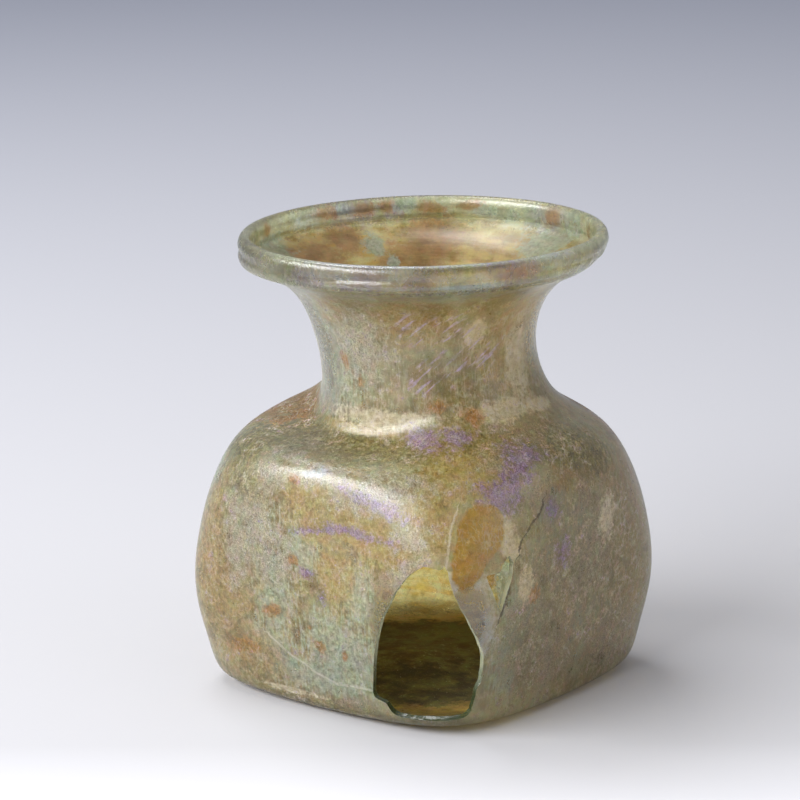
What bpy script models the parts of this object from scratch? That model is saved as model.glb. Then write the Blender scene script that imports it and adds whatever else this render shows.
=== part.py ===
# A small blown glass jar: a globe pressed against four flat sides while soft, a short waisted neck,
# and a wide mouth whose edge is folded in to a rolled rim. One lower corner is broken open.
# Metres, +Z up. The flat sides face X and Y, and the origin is at the middle of the underside.
import math

import bmesh
import bpy
import numpy as np

MM = 0.001

# Body
BODY_HEIGHT = 49.7 * MM  # underside to the root of the neck
BELLY_RADIUS = 46.3 * MM  # the globe before its sides were pressed flat
SIDE_WIDTH = 67.4 * MM  # between the planes that the sides were pressed against
SIDE_DRAFT = 3.4 * MM  # how far each side draws in towards the foot
SIDE_SPREAD = 1.0 * MM  # how far each side opens towards the shoulder
SIDE_SQUARENESS = 8.0  # higher values give tighter corners between the flats
PRESS_SHARPNESS = 9.8  # higher values give a crisper turn from flat to globe

# Neck and mouth
NECK_ROOT_RADIUS = 23.6 * MM
WAIST_RADIUS = 19.4 * MM
MOUTH_RADIUS = 30.9 * MM  # middle of the rim's thickness
HEIGHT = 80.0 * MM  # underside to the top of the rim, before the tilt
MOUTH_TILT = math.radians(0.86)
MOUTH_TILT_START = 0.8  # share of the body height where the tilt begins
NECK_SHIFT = 1.0 * MM  # the neck above its root sits off the axis by this
NECK_SHIFT_RISE = 5.2 * MM  # above the root of the neck
NECK_SHIFT_REACH = 6.0 * MM
NECK_TUCK = 0.5 * MM  # one side of the root was tooled in tighter by this
NECK_TUCK_RISE = 2.0 * MM
NECK_TUCK_REACH = 4.0 * MM
LEAN_DIRECTION = math.radians(37.7)  # the mouth rises, and the neck shifts, towards here
ROOT_SINK = 4.0 * MM  # on one arc the root of the neck was pushed down by this
ROOT_SINK_RISE = 1.5 * MM
ROOT_SINK_REACH = 4.5 * MM
ROOT_PINCH = 2.0 * MM  # and pinched in by this
ROOT_PINCH_RISE = 1.6 * MM
ROOT_PINCH_REACH = 2.6 * MM
SINK_DIRECTION = math.radians(-104.0)
SINK_HALF_ARC = math.radians(54.0)

# Rim
RIM_WIDTH = 2.5 * MM
RIM_DEPTH = 4.5 * MM
RIM_SQUARENESS = 2.6  # 2 gives an oval section, higher values flatten its sides
RIM_UNEVENNESS = 0.22  # the fold hangs lower by this share on the low side, and higher on the other
RIM_CREASE = 0.3 * MM  # groove round the outside, where the fold closed
CREASE_DROP = 0.1  # below the middle of the rim, as a share of half its depth
CREASE_REACH = 0.25
CHIP_DEPTH = 1.1 * MM  # lower edge of the fold, broken away over a short arc
CHIP_DIRECTION = math.radians(25.0)
CHIP_HALF_ARC = math.radians(30.0)

# Glass thickness
BODY_WALL = 0.9 * MM
NECK_WALL = 1.3 * MM
MOUTH_WALL = 0.9 * MM  # the glass thins again as it flares to the rim
BASE_WALL = 1.4 * MM
BASE_WALL_RISE = 5.0 * MM  # height at which the heavy base has thinned to the body's wall
NECK_WALL_RISE = 14.0 * MM  # height over which the wall thickens up to the root of the neck

# Underside
KICK_RADIUS = 17.0 * MM  # edge of the shallow hollow inside the flat resting ring
KICK_HEIGHT = 1.2 * MM

# Broken corner: the outline of the missing glass, seen square to the corner
CORNER = math.radians(-45.0)
BREAK_WIDTH = 18.2 * MM
BREAK_HEIGHT = 27.6 * MM
BREAK_FOOT = 2.9 * MM  # height of the broken edge above the underside
BREAK_OFFSET = -4.2 * MM  # middle of the break, to the left of the corner
GAP_WIDTH = 4.9 * MM
GAP_HEIGHT = 9.4 * MM
GAP_FOOT = 21.7 * MM
GAP_OFFSET = 7.9 * MM
CUT_DEPTH = 30.0 * MM  # from outside the glass into the hollow, short of the far wall

# How finely the round shapes are divided
SIDES = 64
CORNER_CROWDING = 0.5  # share of the even spacing taken up to crowd points into the corners
CROWDING_START = 0.6  # share of the flat's distance from the axis at which the crowding begins
WALL_STEPS = (1, 1, 2, 2, 2, 3, 3, 4, 3, 1, 2, 2, 1, 1)  # rings of faces between the outline's points
RIM_SIDES = 12
KICK_STEPS = (0.0, 0.45, 0.75, 1.0)  # rings of the hollow, as shares of its radius

# Globe, foot to shoulder, as (share of the belly radius, share of the body height)
GLOBE_OUTLINE = (
    (0.61, 0.0),
    (0.74, 0.019),
    (0.846, 0.046),
    (0.929, 0.163),
    (1.0, 0.315),
    (0.935, 0.51),
    (0.81, 0.746),
    (0.69, 0.895),
)

# Neck above its root, as (share of the way from waist to mouth radius, share of the neck height)
NECK_OUTLINE = (
    (0.0, 0.206),
    (0.01, 0.468),
    (0.295, 0.728),
    (0.63, 0.837),
    (0.945, 0.909),
    (1.06, 1.0),
)

# Missing glass at the corner, as (share of the width from its middle, share of the height)
BREAK_OUTLINE = (
    (-0.27, 0.0),
    (0.04, 0.0),
    (0.32, 0.02),
    (0.4, 0.08),
    (0.43, 0.19),
    (0.48, 0.27),
    (0.5, 0.43),
    (0.45, 0.53),
    (0.34, 0.68),
    (0.22, 0.83),
    (0.15, 1.0),
    (0.09, 0.985),
    (-0.05, 1.0),
    (-0.16, 0.95),
    (-0.28, 0.85),
    (-0.41, 0.65),
    (-0.46, 0.47),
    (-0.48, 0.13),
    (-0.37, 0.07),
)

# Small splinter missing beside it, in shares of its own width and height
GAP_OUTLINE = (
    (0.01, 0.0),
    (0.34, 0.42),
    (0.49, 0.68),
    (0.5, 0.88),
    (0.35, 1.0),
    (0.09, 0.84),
    (0.03, 0.74),
    (-0.5, 0.71),
)


def unit(angle):
    return np.array([math.cos(angle), math.sin(angle)])


def smooth_line(points, per_span):
    """Points along the natural cubic spline through the given ones, in even shares of each span."""
    points = np.array(points)
    last = len(points) - 1
    station = np.concatenate([[0], np.cumsum(np.linalg.norm(np.diff(points, axis=0), axis=1))])
    gap = np.diff(station)[:, None]
    slope = np.diff(points, axis=0) / gap
    system = np.eye(last + 1)
    right = np.zeros_like(points)
    for i in range(1, last):
        system[i, i - 1 : i + 2] = gap[i - 1, 0], 2 * (gap[i - 1, 0] + gap[i, 0]), gap[i, 0]
        right[i] = 6 * (slope[i] - slope[i - 1])
    bend = np.linalg.solve(system, right)
    line = []
    for i in range(last):
        for step in range(per_span[i]):
            t = step / per_span[i]
            straight = (1 - t) * points[i] + t * points[i + 1]
            before = ((1 - t) ** 3 - (1 - t)) * bend[i]
            after = (t**3 - t) * bend[i + 1]
            line.append(straight + gap[i, 0] ** 2 / 6 * (before + after))
    line.append(points[last])
    return np.array(line)


def skin_profile():
    """Outer face of the glass as (radius, height), from the edge of the mouth to the middle of the base."""
    neck_height = HEIGHT - RIM_DEPTH / 2 - BODY_HEIGHT
    flare = MOUTH_RADIUS - WAIST_RADIUS
    points = [(share * BELLY_RADIUS, height * BODY_HEIGHT) for share, height in GLOBE_OUTLINE]
    points.append((NECK_ROOT_RADIUS, BODY_HEIGHT))
    for share, height in NECK_OUTLINE:
        points.append((WAIST_RADIUS + share * flare, BODY_HEIGHT + height * neck_height))
    wall = smooth_line(points, WALL_STEPS)
    kick = [
        (share * KICK_RADIUS, KICK_HEIGHT * math.cos(share * math.pi / 2) ** 2) for share in KICK_STEPS
    ]
    return np.vstack([wall[::-1], kick[::-1]])


def rim_profile():
    """The folded rim's section: an upright oval with a groove on its outer face."""
    turn = np.linspace(0, -2 * math.pi, RIM_SIDES + 1)[:-1]
    oval = 2 / RIM_SQUARENESS
    across = np.sign(np.cos(turn)) * np.abs(np.cos(turn)) ** oval
    up = np.sign(np.sin(turn)) * np.abs(np.sin(turn)) ** oval
    groove = RIM_CREASE * np.exp(-(((up + CREASE_DROP) / CREASE_REACH) ** 2)) * (across > 0)
    radius = MOUTH_RADIUS + across * RIM_WIDTH / 2 - groove
    return np.column_stack([radius, HEIGHT - RIM_DEPTH / 2 + up * RIM_DEPTH / 2])


def collection(name):
    made = bpy.data.collections.new(name)
    bpy.context.scene.collection.children.link(made)
    return made


def glass():
    material = bpy.data.materials.new("weathered green glass")
    material.use_nodes = True
    shader = material.node_tree.nodes["Principled BSDF"]
    shader.inputs["Base Color"].default_value = (0.27, 0.25, 0.14, 1.0)
    shader.inputs["Roughness"].default_value = 0.35
    shader.inputs["Metallic"].default_value = 0.0
    shader.inputs["IOR"].default_value = 1.5
    return material


def evaluated_mesh(thing):
    bpy.context.view_layer.update()
    graph = bpy.context.evaluated_depsgraph_get()
    return bpy.data.meshes.new_from_object(thing.evaluated_get(graph))


def turned(name, profile, closed, group):
    """The mesh of a profile turned once round the Z axis."""
    count = len(profile)
    edges = [(i, i + 1) for i in range(count - 1)] + ([(count - 1, 0)] if closed else [])
    mesh = bpy.data.meshes.new(name)
    mesh.from_pydata([(radius, 0.0, height) for radius, height in profile], edges, [])
    guide = bpy.data.objects.new(name, mesh)
    group.objects.link(guide)
    screw = guide.modifiers.new("turn", "SCREW")
    screw.steps = screw.render_steps = SIDES
    screw.use_merge_vertices = True
    screw.merge_threshold = 1e-6
    mesh = evaluated_mesh(guide)
    bpy.data.objects.remove(guide)
    return mesh


def positions(mesh):
    flat = np.empty(len(mesh.vertices) * 3)
    mesh.vertices.foreach_get("co", flat)
    return flat.reshape(-1, 3)


def move_points(mesh, points):
    mesh.vertices.foreach_set("co", points.ravel())
    mesh.update()


def press_sides(points):
    """Presses round sections towards a square with soft corners. Narrow sections stay round."""
    radius = np.hypot(points[:, 0], points[:, 1])
    angle = np.arctan2(points[:, 1], points[:, 0])
    rise = points[:, 2] / BODY_HEIGHT
    flat = SIDE_WIDTH / 2 - SIDE_DRAFT * (1 - rise) ** 2 + SIDE_SPREAD * rise**2
    pressed = np.clip((radius / flat - CROWDING_START) / (1 - CROWDING_START), 0, 1) * (rise < 1)
    angle = angle + pressed * CORNER_CROWDING * np.sin(4 * angle) / 4
    power = SIDE_SQUARENESS
    square = flat * (np.abs(np.cos(angle)) ** power + np.abs(np.sin(angle)) ** power) ** (-1 / power)
    share = (1 + (radius / square) ** PRESS_SHARPNESS) ** (-1 / PRESS_SHARPNESS)
    new = radius * np.where(rise < 1, share, 1)
    return np.column_stack([new * np.cos(angle), new * np.sin(angle), points[:, 2]])


def sink_root(points):
    """Pushes the root of the neck down and in over one arc, where it was tooled most."""
    radius = np.hypot(points[:, 0], points[:, 1])
    angle = np.arctan2(points[:, 1], points[:, 0]) - SINK_DIRECTION
    angle = (angle + math.pi) % (2 * math.pi) - math.pi
    along = np.exp(-((angle / SINK_HALF_ARC) ** 4))
    above_root = points[:, 2] - BODY_HEIGHT
    sink = ROOT_SINK * along * np.exp(-(((above_root - ROOT_SINK_RISE) / ROOT_SINK_REACH) ** 2))
    pinch = ROOT_PINCH * along * np.exp(-(((above_root - ROOT_PINCH_RISE) / ROOT_PINCH_REACH) ** 2))
    share = 1 - pinch / np.maximum(radius, KICK_RADIUS)
    return np.column_stack([points[:, 0] * share, points[:, 1] * share, points[:, 2] - sink])


def lean(points):
    """Shifts the root of the neck and tilts the mouth, as the jar came off the blowpipe."""
    ahead = points[:, :2] @ unit(LEAN_DIRECTION)
    start = MOUTH_TILT_START * BODY_HEIGHT
    rising = np.clip((points[:, 2] - start) / (HEIGHT - start), 0, 1)
    above_root = points[:, 2] - BODY_HEIGHT
    shift = NECK_SHIFT * np.exp(-(((above_root - NECK_SHIFT_RISE) / NECK_SHIFT_REACH) ** 2))
    tuck = NECK_TUCK * np.exp(-(((above_root - NECK_TUCK_RISE) / NECK_TUCK_REACH) ** 2))
    behind = np.clip(-ahead / np.maximum(np.hypot(points[:, 0], points[:, 1]), MM), 0, 1)
    moved = points.copy()
    moved[:, 2] += rising * math.tan(MOUTH_TILT) * ahead
    moved[:, :2] += (shift + tuck * behind)[:, None] * unit(LEAN_DIRECTION)
    return moved


def wear_rim(points):
    """Makes the fold hang unevenly, and thins its lower outer edge over a short arc."""
    angle = np.arctan2(points[:, 1], points[:, 0]) - CHIP_DIRECTION
    angle = (angle + math.pi) % (2 * math.pi) - math.pi
    middle = HEIGHT - RIM_DEPTH / 2
    along = np.clip(1 - (angle / CHIP_HALF_ARC) ** 2, 0, 1)
    drop = np.clip(middle - points[:, 2], 0, RIM_DEPTH)
    radius = np.hypot(points[:, 0], points[:, 1])
    outside = np.clip((radius - MOUTH_RADIUS) / (RIM_WIDTH / 2), 0, 1)
    share = 1 - CHIP_DEPTH * along * np.clip(2 * drop / RIM_DEPTH, 0, 1) * outside / radius
    worn = points * np.column_stack([share, share, np.ones_like(share)])
    worn[:, 2] += drop * RIM_UNEVENNESS * (points[:, :2] @ unit(LEAN_DIRECTION)) / MOUTH_RADIUS
    return worn


def wall_share(points):
    """Thickness of the glass at each point, as a share of the base's, for the solidify modifier."""
    height = points[:, 2]
    at_neck = np.clip(1 + (height - BODY_HEIGHT) / NECK_WALL_RISE, 0, 1)
    at_base = np.clip(1 - height / BASE_WALL_RISE, 0, 1)
    at_mouth = np.clip((height - BODY_HEIGHT) / (HEIGHT - RIM_DEPTH - BODY_HEIGHT), 0, 1)
    wall = BODY_WALL + (NECK_WALL - BODY_WALL) * at_neck + (BASE_WALL - BODY_WALL) * at_base
    wall = wall + (MOUTH_WALL - NECK_WALL) * at_mouth
    return wall / BASE_WALL


def blown_shell(group):
    """The wall of the jar: an outer skin, pressed square, thickened inwards."""
    mesh = turned("jar", skin_profile(), False, group)
    points = sink_root(press_sides(positions(mesh)))
    move_points(mesh, points)
    shell = bpy.data.objects.new("shell", mesh)
    group.objects.link(shell)
    weights = shell.vertex_groups.new(name="wall")
    for index, share in enumerate(wall_share(points)):
        weights.add([index], float(share), "REPLACE")
    solidify = shell.modifiers.new("wall", "SOLIDIFY")
    solidify.thickness = BASE_WALL
    solidify.offset = -1
    solidify.use_even_offset = True
    solidify.vertex_group = "wall"
    return shell


def rolled_rim(group):
    mesh = turned("rim", rim_profile(), True, group)
    move_points(mesh, wear_rim(positions(mesh)))
    rim = bpy.data.objects.new("rim", mesh)
    group.objects.link(rim)
    rim.hide_render = True
    rim.display_type = "WIRE"
    return rim


def flat_cutter(name, outline, width, height, foot, offset, group):
    """A prism of the outline, standing square to the broken corner and reaching into the hollow."""
    curve = bpy.data.curves.new(name, "CURVE")
    curve.dimensions = "2D"
    curve.fill_mode = "BOTH"
    curve.extrude = CUT_DEPTH / 2
    spline = curve.splines.new("POLY")
    spline.points.add(len(outline) - 1)
    for point, (across, up) in zip(spline.points, outline):
        point.co = (across * width, up * height, 0.0, 1.0)
    spline.use_cyclic_u = True
    drawn = bpy.data.objects.new(name, curve)
    group.objects.link(drawn)
    mesh = evaluated_mesh(drawn)
    bpy.data.objects.remove(drawn)
    body = bmesh.new()
    body.from_mesh(mesh)
    bmesh.ops.remove_doubles(body, verts=body.verts, dist=1e-6)
    bmesh.ops.recalc_face_normals(body, faces=body.faces)
    body.to_mesh(mesh)
    body.free()
    cutter = bpy.data.objects.new(name, mesh)
    group.objects.link(cutter)
    outwards = unit(CORNER)
    along = unit(CORNER + math.pi / 2)
    middle = outwards * BELLY_RADIUS + along * offset
    cutter.location = (middle[0], middle[1], foot)
    cutter.rotation_euler = (math.pi / 2, 0, CORNER + math.pi / 2)
    cutter.hide_render = True
    cutter.display_type = "WIRE"
    return cutter


def boolean(thing, tool, operation):
    modifier = thing.modifiers.new(tool.name, "BOOLEAN")
    modifier.operation = operation
    modifier.solver = "EXACT"
    modifier.object = tool


def main():
    for thing in list(bpy.data.objects):
        bpy.data.objects.remove(thing)
    parts = collection("glass jar")
    helpers = collection("cutters")

    shell = blown_shell(helpers)
    rim = rolled_rim(helpers)
    boolean(shell, rim, "UNION")
    mesh = evaluated_mesh(shell)
    bpy.data.objects.remove(shell)
    bpy.data.objects.remove(rim)
    move_points(mesh, lean(positions(mesh)))

    mesh.name = "jar"
    mesh.materials.clear()
    mesh.materials.append(glass())
    jar = bpy.data.objects.new("jar", mesh)
    parts.objects.link(jar)
    missing = flat_cutter(
        "missing corner", BREAK_OUTLINE, BREAK_WIDTH, BREAK_HEIGHT, BREAK_FOOT, BREAK_OFFSET, helpers
    )
    splinter = flat_cutter(
        "missing splinter", GAP_OUTLINE, GAP_WIDTH, GAP_HEIGHT, GAP_FOOT, GAP_OFFSET, helpers
    )
    boolean(jar, missing, "DIFFERENCE")
    boolean(jar, splinter, "DIFFERENCE")
    mesh.shade_smooth()
    mesh.set_sharp_from_angle(angle=math.radians(40))


main()
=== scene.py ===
# A small blown glass jar, square in the body, weathered, and broken open at one lower corner: the looks.
# Shapes are worked out in millimetres and turned to metres when a mesh is made. +Z is up.
import math

import bpy
import numpy as np
from mathutils import Matrix


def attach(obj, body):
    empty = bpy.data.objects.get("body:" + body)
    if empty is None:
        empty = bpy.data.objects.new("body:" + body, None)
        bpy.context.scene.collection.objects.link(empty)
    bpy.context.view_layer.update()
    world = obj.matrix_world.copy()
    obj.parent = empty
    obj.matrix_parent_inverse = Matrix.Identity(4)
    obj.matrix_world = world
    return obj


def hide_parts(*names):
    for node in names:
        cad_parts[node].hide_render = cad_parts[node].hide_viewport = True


mm = 0.001
turnRound = 2 * math.pi

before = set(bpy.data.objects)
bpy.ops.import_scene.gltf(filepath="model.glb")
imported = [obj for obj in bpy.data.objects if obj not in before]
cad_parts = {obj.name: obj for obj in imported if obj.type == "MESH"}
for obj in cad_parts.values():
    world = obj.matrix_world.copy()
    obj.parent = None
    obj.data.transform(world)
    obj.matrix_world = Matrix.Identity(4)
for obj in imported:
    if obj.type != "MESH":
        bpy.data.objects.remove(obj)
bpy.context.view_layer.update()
print("frame loaded")


# Shared helpers


def linearColour(code):
    # sRGB hex to the linear values that a shader takes: each channel through the sRGB curve
    srgb = np.array([int(code[i : i + 2], 16) for i in (1, 3, 5)]) / 255
    linear = np.where(srgb <= 0.04045, srgb / 12.92, ((srgb + 0.055) / 1.055) ** 2.4)
    return (*linear.tolist(), 1.0)


def addNode(tree, kind, inputs=None, **settings):
    # one node with its settings, each input given a value or joined to another node's output
    node = tree.nodes.new(kind)
    for name, value in settings.items():
        setattr(node, name, value)
    for name, value in (inputs or {}).items():
        if isinstance(value, bpy.types.NodeSocket):
            tree.links.new(value, node.inputs[name])
        else:
            node.inputs[name].default_value = value
    return node


def unitAt(degrees):
    # the unit vector at an angle: its cosine and its sine
    return np.array([math.cos(math.radians(degrees)), math.sin(math.radians(degrees))])


def smoothLine(points, count):
    # natural cubic spline through the points, read off at even steps of the distance along them
    points = np.array(points, float)
    station = np.concatenate([[0], np.cumsum(np.hypot(*np.diff(points, axis=0).T))])
    gap = np.diff(station)
    slope = np.diff(points, axis=0) / gap[:, None]
    system = np.diag(np.concatenate([[1], 2 * (gap[:-1] + gap[1:]), [1]]))
    system += np.diag(np.concatenate([gap[:-1], [0]]), -1) + np.diag(np.concatenate([[0], gap[1:]]), 1)
    bend = np.linalg.solve(system, np.vstack([np.zeros(2), 6 * np.diff(slope, axis=0), np.zeros(2)]))
    at = np.linspace(0, station[-1], count)
    span = np.clip(np.searchsorted(station, at, side="right") - 1, 0, len(gap) - 1)
    t = ((at - station[span]) / gap[span])[:, None]
    straight = (1 - t) * points[span] + t * points[span + 1]
    before = ((1 - t) ** 3 - (1 - t)) * bend[span]
    after = (t**3 - t) * bend[span + 1]
    return straight + gap[span, None] ** 2 / 6 * (before + after)


def waveSum(at, waves):
    # the sum of sine waves, each given as its height, its pace and where it starts
    return sum(high * np.sin(pace * at + start) for high, pace, start in waves)


def bell(above, far, rise, reach):
    # a bell curve: as far as given at one height, fading over the reach on both sides of it
    return far * np.exp(-(((above - rise) / reach) ** 2))


# The camera stands where the photograph was taken from

view = {
    "azimuth": 37.7,  # degrees, to the right of looking along +Y
    "elevation": 14.9,
    "roll": 0.29,
    "distance": 648.6,  # from the middle of the jar
    "middle": 40.0,  # height of the middle of the jar
    "aimRight": -4.29,  # the point aimed at, from the middle of the jar
    "aimUp": 9.22,
    "lens": 165.9,  # on a 36 mm sensor
}


def cameraAxes():
    # right, up and back of the camera: back runs from the jar to the camera
    azimuth, elevation = math.radians(view["azimuth"]), math.radians(view["elevation"])
    back = np.array(
        [
            math.sin(azimuth) * math.cos(elevation),
            -math.cos(azimuth) * math.cos(elevation),
            math.sin(elevation),
        ]
    )
    right = np.array([math.cos(azimuth), math.sin(azimuth), 0.0])
    return right, np.cross(back, right), back


def placeCamera():
    # it stands back from the jar's middle, rolled about its own view and turned to the point aimed at
    right, up, back = cameraAxes()
    roll = math.radians(view["roll"])
    rolledRight = math.cos(roll) * right - math.sin(roll) * up
    rolledUp = math.sin(roll) * right + math.cos(roll) * up
    middle = np.array([0, 0, view["middle"]])
    stand = middle + view["distance"] * back
    aim = middle + view["aimRight"] * rolledRight + view["aimUp"] * rolledUp
    looking = stand - aim
    looking /= np.linalg.norm(looking)
    across = np.cross(rolledUp, looking)
    across /= np.linalg.norm(across)
    data = bpy.data.cameras.new("camera")
    data.lens = view["lens"]
    data.sensor_width = 36
    data.clip_start = 0.01
    camera = bpy.data.objects.new("camera", data)
    bpy.context.scene.collection.objects.link(camera)
    turn = np.eye(4)
    turn[:3, 0], turn[:3, 1], turn[:3, 2] = across, np.cross(looking, across), looking
    turn[:3, 3] = stand * mm
    camera.matrix_world = Matrix(turn)
    bpy.context.scene.camera = camera


placeCamera()
print("camera placed")


# The jar's glass

jar = {
    "bodyHeight": 49.7,
    "bellyRadius": 46.3,  # the globe before its sides were pressed
    "sideWidth": 67.4,
    "sideDraft": 3.4,
    "sideSpread": 1.0,
    "sideSquareness": 8.0,
    "pressSharpness": 9.8,
    "globe": [  # profile of the body, as shares of bellyRadius and of bodyHeight
        (0.61, 0.0),
        (0.74, 0.019),
        (0.846, 0.046),
        (0.929, 0.163),
        (1.0, 0.315),
        (0.935, 0.51),
        (0.81, 0.746),
        (0.69, 0.895),
    ],
    "neckRoot": 23.6,
    "waist": 19.4,
    # profile of the neck: shares of the way from the waist to the mouth's radius, and of its height
    "neck": [(0.0, 0.206), (0.01, 0.468), (0.295, 0.728), (0.63, 0.837), (0.945, 0.909), (1.06, 1.0)],
    "height": 80.0,
    "mouthRadius": 30.9,
    "rimWidth": 2.5,
    "rimDepth": 4.5,
    "rimSquareness": 2.6,
    "rimUnevenness": 0.22,
    "crease": 0.255,  # mean depth of the groove outside the fold
    "creaseWaves": [(1 / 3, 5, 1)],
    "creaseDrop": 0.1,
    "creaseReach": 0.2,
    "chipDepth": 1.1,
    "chipDirection": 25.0,
    "chipHalfArc": 30.0,
    "chipWaves": [(0.25, 23, 0), (0.2, 51, 2), (0.12, 97, 1)],
    "bodyWall": 0.9,
    "neckWall": 1.3,
    "mouthWall": 0.9,
    "baseWall": 1.4,
    "baseWallRise": 5.0,
    "neckWallRise": 14.0,
    "kickRadius": 17.0,
    "kickHeight": 1.2,
    "leanDirection": 37.7,
    "mouthTilt": 0.86,
    "mouthTiltStart": 0.8,
    "neckShift": (1.0, 5.2, 6.0),  # how far, at what height above the root, over what reach
    "neckTuck": (0.5, 2.0, 4.0),
    "rootSink": (4.0, 1.5, 4.5),
    "rootPinch": (1.7, 1.6, 3.0),
    "sinkDirection": -104.0,
    "sinkHalfArc": 54.0,
    "columns": 288,
    "cornerCrowding": 0.5,
    "crowdingStart": 0.6,
    "profileSteps": 2400,
    "waviness": 0.05,  # slow unevenness of blown glass
    "wavyFrom": 8.0,  # the waves are full above this height and outside this radius
    # each wave's share, its number round the jar, the millimetres up for one radian, and its start
    "slowWaves": [(1.0, 3, 9, 0), (0.7, 7, -5, 2), (0.6, 2, 3.1, 1), (0.5, 13, 4, 0)],
}

# how many steps of the skin's grid lie along each part of the profile
steps = {"kick": 14, "standing": 9, "body": 110, "neck": 46, "rim": 42}

# the two pieces broken out: each outline is given as shares of its width and height
missingCorner = {
    "corner": -45.0,  # degrees, the corner that it lies on
    "width": 18.2,
    "height": 27.6,
    "foot": 2.9,  # above the ground
    "offset": -4.2,  # of its middle, to the right of the corner
    "roundness": 0.42,  # 0 leaves the outline's corners sharp
    "jag": 0.03,
    "outline": [
        (-0.27, 0.0),
        (0.04, 0.0),
        (0.32, 0.02),
        (0.4, 0.08),
        (0.43, 0.19),
        (0.48, 0.27),
        (0.5, 0.43),
        (0.45, 0.53),
        (0.34, 0.68),
        (0.22, 0.83),
        (0.15, 1.0),
        (0.09, 0.985),
        (-0.05, 1.0),
        (-0.16, 0.95),
        (-0.28, 0.85),
        (-0.41, 0.65),
        (-0.46, 0.47),
        (-0.48, 0.13),
        (-0.37, 0.07),
    ],
}

missingSplinter = {
    "corner": -45.0,
    "width": 4.9,
    "height": 9.4,
    "foot": 21.7,
    "offset": 7.9,
    "roundness": 0.12,
    "jag": 0.03,
    "outline": [
        (0.01, 0.0),
        (0.34, 0.42),
        (0.49, 0.68),
        (0.5, 0.88),
        (0.35, 1.0),
        (0.09, 0.84),
        (0.03, 0.74),
        (-0.5, 0.71),
    ],
}

jagWaves = [(1.0, 5.3, 0), (0.8, 11.7, 1), (0.6, 23.1, 0)]
cutDepths = (-2.2, -0.45, 0.3, 2.0)  # of a cutter's rings, from inside the jar to outside it


def wallProfile():
    # outer face of the wall from the edge of the base to the inside of the rim, as (radius, height)
    neckHeight = jar["height"] - jar["rimDepth"] / 2 - jar["bodyHeight"]
    flare = jar["mouthRadius"] - jar["waist"]
    points = [(share * jar["bellyRadius"], rise * jar["bodyHeight"]) for share, rise in jar["globe"]]
    points.append((jar["neckRoot"], jar["bodyHeight"]))
    points += [(jar["waist"] + s * flare, jar["bodyHeight"] + h * neckHeight) for s, h in jar["neck"]]
    return smoothLine(points, jar["profileSteps"])


def wallThickness(height):
    # the body's wall, heavier at the base and at the root of the neck, thinner again at the mouth
    atNeck = np.clip(1 + (height - jar["bodyHeight"]) / jar["neckWallRise"], 0, 1)
    atBase = np.clip(1 - height / jar["baseWallRise"], 0, 1)
    atMouth = np.clip(
        (height - jar["bodyHeight"]) / (jar["height"] - jar["rimDepth"] - jar["bodyHeight"]), 0, 1
    )
    wall = jar["bodyWall"] + (jar["neckWall"] - jar["bodyWall"]) * atNeck
    wall += (jar["baseWall"] - jar["bodyWall"]) * atBase
    return wall + (jar["mouthWall"] - jar["neckWall"]) * atMouth


def pressed(radius, height, angle, crowding):
    # a round section pressed between four flats: the power mean of the circle and a soft square.
    # Crowding only moves the points along the section, closer together near its corners.
    rise = height / jar["bodyHeight"]
    flat = jar["sideWidth"] / 2 - jar["sideDraft"] * (1 - rise) ** 2 + jar["sideSpread"] * rise**2
    crowd = np.clip((radius / flat - jar["crowdingStart"]) / (1 - jar["crowdingStart"]), 0, 1) * (rise < 1)
    angle = angle + crowd * crowding * np.sin(4 * angle) / 4
    power = jar["sideSquareness"]
    square = flat * (np.abs(np.cos(angle)) ** power + np.abs(np.sin(angle)) ** power) ** (-1 / power)
    sharp = jar["pressSharpness"]
    radius = radius * np.where(rise < 1, (1 + (radius / square) ** sharp) ** (-1 / sharp), 1)
    return np.stack([radius * np.cos(angle), radius * np.sin(angle), height + 0 * angle], axis=-1)


def sunk(points, level):
    # the root of the neck pushed down and in over one arc, by the height that each point answers to
    angle = np.arctan2(points[..., 1], points[..., 0]) - math.radians(jar["sinkDirection"])
    angle = (angle + math.pi) % turnRound - math.pi
    along = np.exp(-((angle / math.radians(jar["sinkHalfArc"])) ** 4))
    above = level - jar["bodyHeight"]
    sink, pinch = [along * bell(above, *jar[name]) for name in ("rootSink", "rootPinch")]
    share = 1 - pinch / np.maximum(np.hypot(points[..., 0], points[..., 1]), jar["kickRadius"])
    return np.stack([points[..., 0] * share, points[..., 1] * share, points[..., 2] - sink], axis=-1)


def leaned(points):
    # the neck's root shifted and tucked, and the mouth tilted, all towards one side
    side = unitAt(jar["leanDirection"])
    ahead = points[..., :2] @ side
    start = jar["mouthTiltStart"] * jar["bodyHeight"]
    rising = np.clip((points[..., 2] - start) / (jar["height"] - start), 0, 1)
    above = points[..., 2] - jar["bodyHeight"]
    shift, tuck = [bell(above, *jar[name]) for name in ("neckShift", "neckTuck")]
    behind = np.clip(-ahead / np.maximum(np.hypot(points[..., 0], points[..., 1]), 1), 0, 1)
    moved = points.copy()
    moved[..., 2] += rising * math.tan(math.radians(jar["mouthTilt"])) * ahead
    moved[..., :2] += (shift + tuck * behind)[..., None] * side
    return moved


def rimMiddle():
    # height of the middle of the rolled rim
    return jar["height"] - jar["rimDepth"] / 2


def rimHang(angle, radius):
    # how much deeper the fold hangs on the low side: a share, following the angle round the mouth
    ahead = np.cos(angle - math.radians(jar["leanDirection"])) * radius / jar["mouthRadius"]
    return 1 - jar["rimUnevenness"] * ahead


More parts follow.
